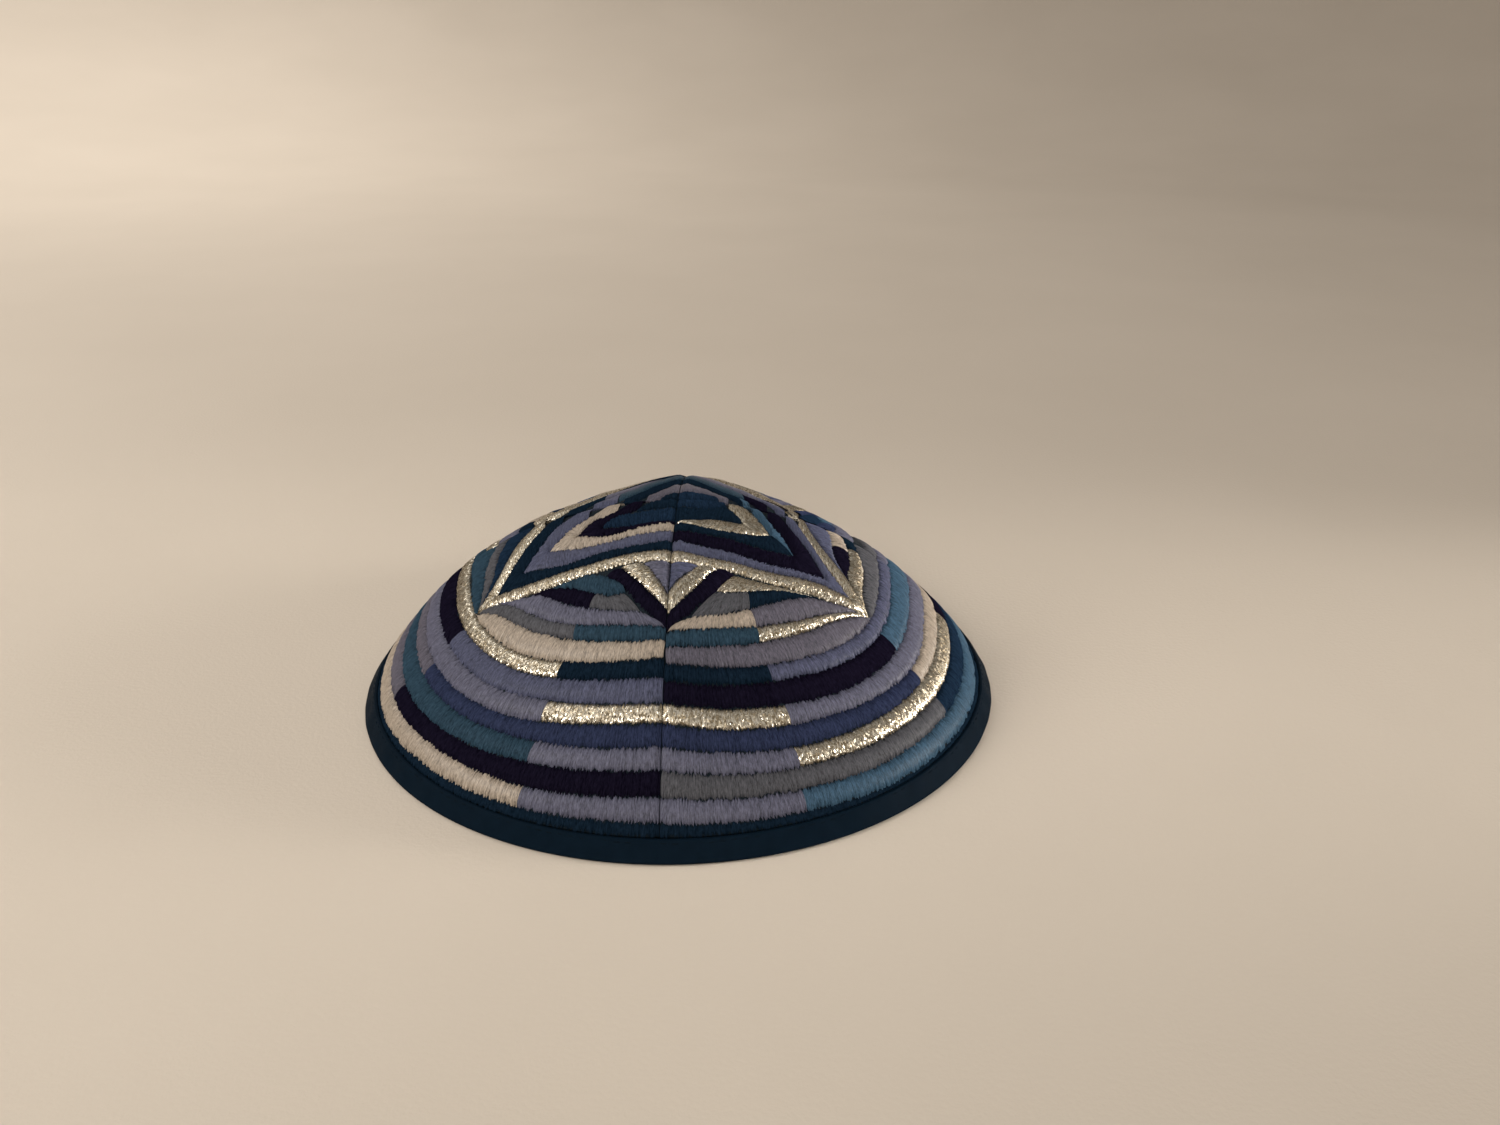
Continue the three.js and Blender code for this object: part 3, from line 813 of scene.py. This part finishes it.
# %% Table of the front's small stripes
small_stripes = [
    # the dark middle of the crown
    ("dark_teal",
     [(0.05, -12.5), (3.4, -12.2), (8, -9.8), (16.5, -8.9)],
     [(0.05, -4), (7, -4.5), (12.3, -3), (15.5, -7)]),
    ("navy",
     [(0.05, -4), (7, -4.5), (12.3, -3)],
     [(0.05, -0.05), (6, -0.05), (11, -0.05)]),
    ("navy",
     [(0.05, 0.05), (6, 0.05), (10.6, 0.05)],
     [(0.05, 6), (5, 5.8), (9, 3)]),
    ("navy",
     [(-0.05, -11.6), (-12.1, -12), (-18, -10.8)],
     [(-0.05, -5), (-9.9, -5.8), (-15.4, -6.6), (-17.4, -9.4)]),
    ("dark_teal",
     [(-0.05, -5), (-9.9, -5.6)],
     [(-0.05, -0.05), (-4.6, -0.05), (-6.4, -1.6), (-9.4, -4.4)]),
    ("dark_teal",
     [(-0.05, 0.05), (-4.8, 0.05)],
     [(-0.05, 6), (-2.8, 2.8), (-5, 0.1)]),
    # the lower triangle's point at the front seam
    ("dark_purple",
     [(0.06, -48.9), (2.4, -46.5), (5.2, -43.6), (8.8, -39.2), (11, -36.3), (15.5, -29.6)],
     [(0.06, -44), (3.6, -39.7), (7.3, -34.3), (10.1, -29.9), (11.4, -28.6)]),
    ("silver",
     [(0.06, -44), (3.6, -39.7), (7.3, -34.3), (10.1, -29.9), (11, -28.8)],
     [(0.06, -37.2), (2.7, -33.1), (5.8, -29.6), (6.8, -28.6)]),
    ("lavender_deep",
     [(0.06, -37.2), (2.7, -33.1), (5.8, -29.6), (6.6, -28.6)],
     [(0.06, -36.6), (0.06, -33), (0.06, -28.8)]),
    ("dark_purple",
     [(-0.06, -48.9), (-3.9, -44.4), (-7.3, -40.3), (-11, -34.6), (-15.6, -29.9)],
     [(-0.06, -43), (-4, -38.4), (-7.7, -33.5), (-11.1, -29.4), (-12.6, -28.0)]),
    ("silver",
     [(-0.06, -43), (-4, -38.4), (-7.7, -33.5), (-11.1, -29.4), (-12.2, -28.0)],
     [(-0.06, -38.4), (-1.7, -35.5), (-3.5, -32.1), (-5.3, -29.4), (-6.6, -27.9)]),
    ("lavender",
     [(-0.06, -38.4), (-1.7, -35.5), (-3.5, -32.1), (-5.3, -29.4), (-6.2, -27.9)],
     [(-0.06, -38), (-0.06, -33), (-0.06, -28.6)]),
    # between the V and the right point, from the outline down
    ("silver",
     [(15.4, -29.6), (22, -29.4), (31.6, -28.9), (37, -28.0)],
     [(11.0, -36.1), (15.4, -34.9), (22.3, -32.1), (31.6, -29.4), (37, -28.2)]),
    ("grey",
     [(11, -36.3), (15.4, -34.9), (18.9, -33.6)],
     [(5.5, -44.5), (8.5, -43.7), (12.4, -42.4), (19.7, -38.7)]),
    ("dark_teal",
     [(18.9, -33.6), (25.7, -30.6), (31.6, -29.3), (37, -28.1)],
     [(19.7, -38.7), (26, -34.5), (34, -29.8), (38, -28.0)]),
    ("cream",
     [(2.8, -46.3), (5.5, -44.6), (12.4, -42.4), (19.7, -38.7)],
     [(0.06, -48.7), (9.3, -46.9), (16, -45.1), (21.8, -43.2)]),
    ("lavender_grey",
     [(19.7, -38.7), (26, -34.5), (34, -29.6), (41, -27.6), (47, -26.4)],
     [(21.8, -43.2), (32.2, -37.4), (41.2, -31.1), (48.8, -26.4)]),
    ("teal",
     [(0.06, -48.7), (9.3, -46.9), (16, -45.1), (21.8, -43.2)],
     [(0.06, -52.7), (9.5, -51.4), (16.2, -49.8), (22.9, -47.2)]),
    ("silver",
     [(21.8, -43.2), (32.2, -37.4), (41.2, -31.1), (48.8, -26.4), (51, -25.9)],
     [(22.9, -47.2), (26.6, -45.2), (34, -40.5), (41.5, -33.9), (49.2, -27.6), (52.4, -26.0)]),
    # between the V and the left point
    ("teal",
     [(-11.3, -33.7), (-15.6, -29.9), (-18.6, -28.2), (-25.9, -28.4), (-31, -28.7)],
     [(-10.4, -36.5), (-12.4, -36.6), (-18.1, -34.7), (-25.7, -30.5), (-31, -28.8)]),
    ("grey",
     [(-11.2, -36.2), (-12.4, -36.6), (-18.1, -34.7)],
     [(-6.2, -43.1), (-12.7, -41.4), (-19.6, -38.8)]),
    ("dark_purple",
     [(-18.1, -34.7), (-25.7, -30.5), (-31, -28.8), (-35, -28.6)],
     [(-19.6, -38.8), (-27, -34.8), (-33.9, -29.6), (-36, -28.6)]),
    ("lavender",
     [(-3.2, -45.3), (-6.4, -43.1), (-12.7, -41.4), (-19.6, -38.8), (-27, -34.8), (-33.9, -29.5),
      (-40, -28.0), (-45, -26.6)],
     [(-0.06, -47.5), (-10.4, -45.9), (-22.8, -42.8), (-30.6, -38.9), (-36.1, -34.5), (-41.7, -29.2),
      (-47, -25.6)]),
    ("teal",
     [(-0.06, -47.5), (-10.4, -45.9), (-16.5, -44.6), (-22.8, -42.8)],
     [(-0.06, -51.0), (-10.2, -50.2), (-16.7, -48.9), (-23.4, -46.9)]),
    ("grey",
     [(-22.8, -42.8), (-30.6, -38.9), (-36.1, -34.5), (-41.7, -29.2), (-47, -25.8), (-50, -25.6)],
     [(-23.4, -46.9), (-30.5, -43.2), (-37.2, -38.6), (-43.3, -32.7), (-49.2, -27.6), (-52.5, -25.4)]),
    # past the right point
    ("lavender_deep",
     [(33, 4), (30.9, 3.1), (34.3, -5), (39.9, -12), (43.7, -15.6), (48, -20.5)],
     [(38, 4), (37.6, 0.2), (38.9, -1.3), (40, -5.4), (41, -11.3), (43.9, -15.6), (48.2, -20.6)]),
    ("dark_purple",
     [(40.2, -6.4), (41, -11.3), (43.9, -15.8), (48, -20.4)],
     [(44.6, -6.4), (45.2, -9.4), (45.3, -16.2), (48.4, -20.6)]),
    ("cream",
     [(37.7, 0.4), (39, -2.4), (40.2, -6.4)],
     [(41.5, 0.4), (43.2, -2.6), (44.6, -6.4)]),
    ("silver",
     [(44.6, -5), (45.3, -9.4), (45.4, -16.2), (48.4, -20.8), (52.4, -25.9)],
     [(47.8, -5), (49.3, -9), (49.8, -12.8), (50.2, -20.2), (52.8, -25.9)]),
    ("dark_teal",
     [(37.5, 5), (41.6, 0.2), (44.6, -5)],
     [(41, 6), (45.2, 0.2), (47.8, -5)]),
    ("grey",
     [(41, 8), (45.3, 0.2), (48, -6.3), (49.8, -12.8), (50.2, -20.2), (53, -25.8)],
     [(52.6, 8), (53.6, 0), (54.3, -4.9), (54.6, -9.8), (54.4, -18.4), (53.5, -26)]),
    # past the left point
    ("navy",
     [(-31, 5), (-36, -0.4), (-40, -4.7), (-43, -9.7), (-46, -15.4), (-52, -22.8)],
     [(-39, 5), (-44.3, -0.4), (-46.1, -4.2), (-47.6, -10.3), (-48.4, -15.4), (-52.4, -22.8)]),
    ("grey",
     [(-39, 5), (-44.3, -0.4), (-46.1, -4.2), (-47.6, -10.3), (-48.4, -15.4), (-52.4, -23)],
     [(-44, 5), (-47.3, 0), (-48.7, -3.6), (-50.6, -8.4), (-51.4, -15.9), (-53, -23)]),
    ("teal",
     [(-44, 5), (-47.3, 0), (-48.7, -3.6), (-50.6, -8.4), (-51.4, -15.9), (-53.4, -24.4)],
     [(-56, 5), (-56.5, 0), (-56.2, -7), (-55.8, -15), (-54.9, -20), (-54.2, -24.6)]),
]
small_height = 0.9
crown_rows = 6
for k, (colour, edge_a, edge_b) in enumerate(small_stripes):
    reach = all_round if k < crown_rows else (-90, 90)
    sew_stripe(colour, *side_by_side(edge_a, edge_b), height=small_height, span=reach)

# the ring beside the points: it narrows to nothing where a point reaches the next ring
corner_edge = {
    "right": [
        (0.06, -52.7), (9.5, -51.4), (16.2, -49.8), (22.9, -47.2), (26.6, -45.2),
        (34, -40.5), (41.5, -33.9), (49.2, -27.6), (52.8, -26.0),
    ],
    "left": [
        (-0.06, -51.0), (-10.2, -50.2), (-16.7, -48.9), (-23.4, -46.9), (-30.5, -43.2),
        (-37.2, -38.6), (-43.3, -32.7), (-49.2, -27.6), (-53.6, -25.2),
    ],
}
for side, colour in (("right", "lavender_grey"), ("left", "cream")):
    lower = ring_path("front_" + side, ring_edges[side][0], 0.4, 65.5)
    sew_stripe(colour, even_points(smooth_path(corner_edge[side])), even_points(lower))
print("front sewn, points", {name: sewn[name]["count"] for name in panel_names})

# %% [markdown]
# The photograph doesn't show the back, but a star has the same corners all round. So the front's small
# stripes are turned by about a third of a circle each way and fitted between the star's outline and the first
# ring there, and only what lies past the side seams is kept.

# %% Turn the corner stripes to the back
turned_colours = {
    "right": {
        "teal": "navy",
        "cream": "lavender_grey",
        "grey": "teal_blue",
        "lavender_grey": "cream",
        "dark_teal": "dark_purple",
        "dark_purple": "indigo",
    },
    "left": {
        "teal": "dark_purple",
        "grey": "cream",
        "lavender": "teal_blue",
        "cream": "grey",
        "dark_purple": "navy",
        "lavender_grey": "lavender",
    },
}


def share_of(path, azimuth):
    """Share of the way down at which a path crosses the given azimuths, in radians from the front."""
    share, where = from_map(path)
    order = np.argsort(np.abs(where))
    return np.interp(np.abs(azimuth), np.abs(where)[order], share[order])


corner_turn, corner_squeeze = 123.5, 0.9
outline_gap, ring_gap = 0.98, 0.93


def turn_to_back(path, sign):
    """Map points at azimuth z go to 123.5 + 0.9 z degrees, between the outline there and the ring there.

    A point's share between the front's outline and its lowest stripe becomes the same share between the
    outline's side and a line a little above the first ring.
    """
    share, azimuth = from_map(path)
    turned = math.radians(corner_turn) * sign + azimuth * corner_squeeze
    side = "right" if sign > 0 else "left"
    inner, outer = (
        np.where(
            azimuth > 0,
            share_of(smooth_path(lines["right"]), azimuth),
            share_of(smooth_path(lines["left"]), azimuth),
        )
        for lines in ({front: base[0] for front, base in star_base.items()}, corner_edge)
    )
    new_inner = outline_gap * share_of(smooth_path(star_side[side][0]), turned)
    new_outer = ring_gap * share_of(ring_path("back_" + side, ring_edges[side][0], 0, 90), turned)
    part = (share - inner) / np.maximum(outer - inner, 0.03)
    reach = new_inner + np.clip(part, -0.1, 1.05) * np.maximum(new_outer - new_inner, 0.0)
    return np.stack([100 * reach * np.sin(turned), -100 * reach * np.cos(turned)], axis=-1)


# Known fault: this was counted before the crown got its last two rows. It takes two crown rows along and
# leaves out the last two corner stripes. The corner stripes alone are rows 6 to 24.
turned_rows = slice(4, 23)
for sign, side in ((1, "right"), (-1, "left")):
    swap = turned_colours[side]
    for colour, edge_a, edge_b in small_stripes[turned_rows]:
        a, b = side_by_side(edge_a, edge_b)
        keep = (90, 181) if sign > 0 else (-181, -90)
        sew_stripe(swap.get(colour, colour), turn_to_back(a, sign), turn_to_back(b, sign), span=keep)
    lower = ring_path("back_" + side, ring_edges[side][0], 0.3, 89.7)
    sew_stripe("grey" if sign > 0 else "teal", lower * ring_gap, lower)
print("back sewn, points", {name: sewn[name]["count"] for name in panel_names})

# %% Gather each panel's stitches
for name in panel_names:
    parts = sewn[name]
    stitches = make_piece(
        "stitches_" + name,
        np.concatenate(parts["points"]),
        np.concatenate(parts["quads"]),
        [threads[colour] for colour in thread_order],
        material_index=np.concatenate(parts["material"]),
        shade=np.concatenate(parts["shade"]),
        run=np.concatenate(parts["run"]),
    )
    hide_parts("panel_" + name)
    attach(stitches, "root")

# %% [markdown]
# ## The cloth under the stitches
# The ground is a stiff dark cloth, which shows in the seams, between stripes and inside the cap. Each
# panel's cloth is one closed surface: rows down the outer face, round the foot in the tape's fold and up
# the inner face, closed at both sides.


# %% Weave the ground cloth
def woven_cloth(name, colour, scale):
    """Cloth of fine crossed ridges: two wave patterns on the piece's own coordinates."""
    material, shader = start_material(name, 0.75, 0.15)
    place = add_node(material, "TexCoord")
    warp = add_node(material, "TexWave", {"Scale": scale, "Distortion": 1.5})
    weft = add_node(material, "TexWave", {"Scale": scale, "Distortion": 1.5}, bands_direction="Y")
    crossed = add_node(material, "Math", operation="MAXIMUM")
    tint = mixed_tint(material, [c * 0.6 for c in colour], [c * 1.3 for c in colour])
    bump = add_node(material, "Bump", {"Strength": 0.4, "Distance": 0.0002})
    wire(
        material,
        (place.outputs["Object"], warp.inputs["Vector"]),
        (place.outputs["Object"], weft.inputs["Vector"]),
        (warp.outputs["Fac"], crossed.inputs[0]),
        (weft.outputs["Fac"], crossed.inputs[1]),
        (crossed.outputs["Value"], tint.inputs["Factor"]),
        (crossed.outputs["Value"], bump.inputs["Height"]),
        (tint.outputs["Result"], shader.inputs["Base Color"]),
        (bump.outputs["Normal"], shader.inputs["Normal"]),
    )
    return material


ground_cloth = woven_cloth("ground_cloth", (0.004, 0.009, 0.014), 420.0)

# %% Cut and place the four cloths
rim_slope = math.radians(sections[-1, 1])
channel_depth = rib_height + cloth_wall + clearance
channel_start = channel_depth / math.tan(rim_slope) + tape_thickness
foot_share = along_from_rim(channel_start + clearance)
hem_share = along_from_rim(tape_width + clearance)
seam_gap = 0.04


def cloth_loop(crown_share=0.0008, face_rows=60, foot_rows=6):
    """Rows of one panel's closed section: share of the way down and depth."""
    outer = np.linspace(crown_share, hem_share, face_rows)
    under = np.linspace(hem_share, foot_share, foot_rows)
    inner = np.linspace(foot_share, crown_share, face_rows)
    depths = [rib_height, tape_thickness + clearance, rib_height + cloth_wall]
    return np.concatenate([outer, under, inner]), np.repeat(depths, [face_rows, foot_rows, face_rows])


def cut_cloth(k, name, columns=49):
    """Closed shell: the loop at each azimuth of a panel, with flat sides beside the seams."""
    along, depth = cloth_loop()
    share = np.linspace(0, 1, columns)[:, None]
    radius = np.maximum(np.interp(along, curve_share, curve_radius), 0.05)[None, :]
    margin = np.arcsin(np.minimum(seam_gap / 2 / radius, 0.7))
    azimuth = k * np.pi / 2 + margin + share * (np.pi / 2 - 2 * margin)
    points = cap_point(along[None, :], azimuth, depth[None, :])
    rows = len(along)
    ids = np.arange(columns * rows).reshape(columns, rows)
    after = np.roll(ids, -1, axis=1)
    skin = np.stack([ids[:-1], after[:-1], after[1:], ids[1:]], axis=-1).reshape(-1, 4)
    half = rows // 2
    low = np.arange(half - 1)
    first, last = ids[0], ids[-1]
    sides = [
        np.stack([first[low], first[rows - 1 - low], first[rows - 2 - low], first[low + 1]], axis=-1),
        np.stack([last[low], last[low + 1], last[rows - 2 - low], last[rows - 1 - low]], axis=-1),
    ]
    quads = np.concatenate([skin, *sides])
    return make_piece("cloth_" + name, points.reshape(-1, 3), quads, [ground_cloth])


for k, name in enumerate(panel_names):
    cloth = cut_cloth(k, name)
    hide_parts("panel_" + name)
    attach(cloth, "root")

# %% [markdown]
# ## The tape round the rim
# A satin tape is folded over the rim and sewn down with a line of stitches near its upper edge. Its
# section is drawn once as pairs of distance up the slope and depth, with rounded corners, and carried
# round the rim. The tape was eased round the curve by hand, so its face swells and sinks a little.


# %% Weave the satin
def satin_cloth(name, colour):
    """Smooth satin: a tight diagonal ridge and a soft gloss."""
    material, shader = start_material(name, 0.5, 0.012)
    run = add_node(material, "UVMap", uv_map="thread_run")
    turn = add_node(material, "Mapping", {"Rotation": (0, 0, math.radians(32))})
    ridge = add_node(material, "TexWave", {"Scale": 12.0, "Distortion": 0.6})
    cloud = add_node(material, "TexNoise", {"Scale": 3.0, "Detail": 4.0})
    tint = mixed_tint(material, [c * 0.75 for c in colour], [c * 1.3 for c in colour])
    bump = add_node(material, "Bump", {"Strength": 0.25, "Distance": 0.00008})
    wire(
        material,
        (run.outputs["UV"], turn.inputs["Vector"]),
        (turn.outputs["Vector"], ridge.inputs["Vector"]),
        (run.outputs["UV"], cloud.inputs["Vector"]),
        (cloud.outputs["Fac"], tint.inputs["Factor"]),
        (tint.outputs["Result"], shader.inputs["Base Color"]),
        (ridge.outputs["Fac"], bump.inputs["Height"]),
        (bump.outputs["Normal"], shader.inputs["Normal"]),
    )
    return material


tape_satin = satin_cloth("tape_satin", (0.003, 0.008, 0.015))

# %% Fold the tape
tape_inner = channel_depth + tape_thickness
foot_inset = 0.9
tape_round = 0.45


def tape_section():
    """Pairs (up the slope, depth) round the tape: outer face, foot, inner face, and its fold's channel."""
    corner = np.radians(np.linspace(0, 90, 6))
    foot_out = foot_inset / math.tan(rim_slope)
    foot_in = (tape_inner - foot_inset) / math.tan(rim_slope)
    round_at = tape_width - tape_round
    outer_top = [(round_at + tape_round * math.cos(c), tape_round - tape_round * math.sin(c)) for c in corner]
    outer = [(up, 0.0) for up in (5.0, 4.2, 3.4, 2.6, 1.9, 1.3, 0.9)] + [(0.62, 0.2), (0.55, 0.5)]
    foot = [(foot_out, foot_inset), (foot_in, tape_inner - foot_inset)]
    inner_low = tape_inner / math.tan(rim_slope)
    inner = [(inner_low - 0.1, tape_inner - 0.25), (inner_low + 0.5, tape_inner), (4.4, tape_inner)]
    round_in = tape_inner - tape_round
    inner_top = [(round_at + tape_round * math.sin(c), round_in + tape_round * math.cos(c)) for c in corner]
    channel = [(tape_width, channel_depth), (channel_start, channel_depth)]
    channel += [(channel_start, tape_thickness), (tape_width, tape_thickness)]
    return np.array(outer_top + outer + foot + inner + inner_top + channel), len(outer_top + outer)


section, foot_at = tape_section()
tape_columns = 540
tape_turn = np.linspace(0, 2 * np.pi, tape_columns, endpoint=False)[:, None]
ease = 0.1 * np.sin(31 * tape_turn + 2 * np.sin(7 * tape_turn)) + 0.08 * np.sin(53 * tape_turn)
on_face = ((np.arange(len(section)) > 3) & (np.arange(len(section)) < foot_at - 2))[None, :]
bulge = np.sin(np.pi * np.clip(section[:, 0] / tape_width, 0, 1))[None, :]
swell = np.where(on_face, ease * bulge - 0.15, 0.0)
tape_along = along_from_rim(section[:, 0])[None, :]
tape_points = cap_point(tape_along, tape_turn, section[:, 1][None, :] + swell, soft=False)
tape_points[:, foot_at : foot_at + 2, 2] = 0.0
tape_points[..., 2] = np.maximum(tape_points[..., 2], 0.0)
ring_ids = np.arange(tape_columns * len(section)).reshape(tape_columns, len(section))
next_ring, next_point = np.roll(ring_ids, -1, axis=0), np.roll(ring_ids, -1, axis=1)
next_both = np.roll(next_ring, -1, axis=1)
tape_quads = np.stack([ring_ids, next_point, next_both, next_ring], axis=-1).reshape(-1, 4)
section_length = np.cumsum(np.hypot(*np.diff(section, axis=0, prepend=section[:1]).T))
tape_run = np.stack(np.broadcast_arrays(tape_turn * rim_radius / 10, section_length[None, :] / 10), axis=-1)
tape_points, tape_run = tape_points.reshape(-1, 3), tape_run.reshape(-1, 2)
tape = make_piece("satin_tape", tape_points, tape_quads, [tape_satin], run=tape_run)
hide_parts("rim_binding")
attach(tape, "root")

# %% [markdown]
# The line of stitches is a few hundred short pieces of thread. Each is the same small spindle, bent to the
# rim, and one array holds them all.


# %% Sew the tape down
def stitch_line(name, up_slope, length, pitch, thickness, depth, material):
    """Row of spindles along the tape: round sections whose size swells from the ends to the middle."""
    stitch_line_radius, rings, sides = 83, 7, 6
    count = int(2 * math.pi * stitch_line_radius / pitch)
    start = (np.arange(count) * pitch)[:, None, None]
    place = np.linspace(0, 1, rings)[None, :, None]
    ring = np.linspace(0, 2 * np.pi, sides, endpoint=False)[None, None, :]
    size = thickness * np.sqrt(np.clip(1 - (2 * place - 1) ** 2, 0.02, 1))
    turn = (start + place * length) / (count * pitch) * 2 * np.pi
    up = up_slope + 0.12 * np.sin(start * 1.7) + size * np.cos(ring)
    down = depth - size * np.sin(ring) * 0.7 + 0.25 * (2 * place - 1) ** 4
    points = cap_point(along_from_rim(up), turn + 0 * ring, down + 0 * turn, soft=False)
    ids = np.arange(points.size // 3).reshape(count, rings, sides)
    around = np.roll(ids, -1, axis=2)
    quads = np.stack([ids[:, :-1], around[:, :-1], around[:, 1:], ids[:, 1:]], axis=-1).reshape(-1, 4)
    heads = [ids[:, 0, [0, 3, 2, 1]], ids[:, 0, [0, 5, 4, 3]]]
    tails = [ids[:, -1, [0, 1, 2, 3]], ids[:, -1, [0, 3, 4, 5]]]
    caps = np.concatenate(heads + tails)
    piece = make_piece(name, points.reshape(-1, 3), np.concatenate([quads, caps]), [material])
    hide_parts("rim_binding")
    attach(piece, "root")
    return piece


sewing_thread = rayon_thread("sewing_thread", (0.003, 0.007, 0.012))
stitch_line(
    "tape_stitches", up_slope=5.2, length=2.1, pitch=2.6, thickness=0.16, depth=-0.1, material=sewing_thread
)
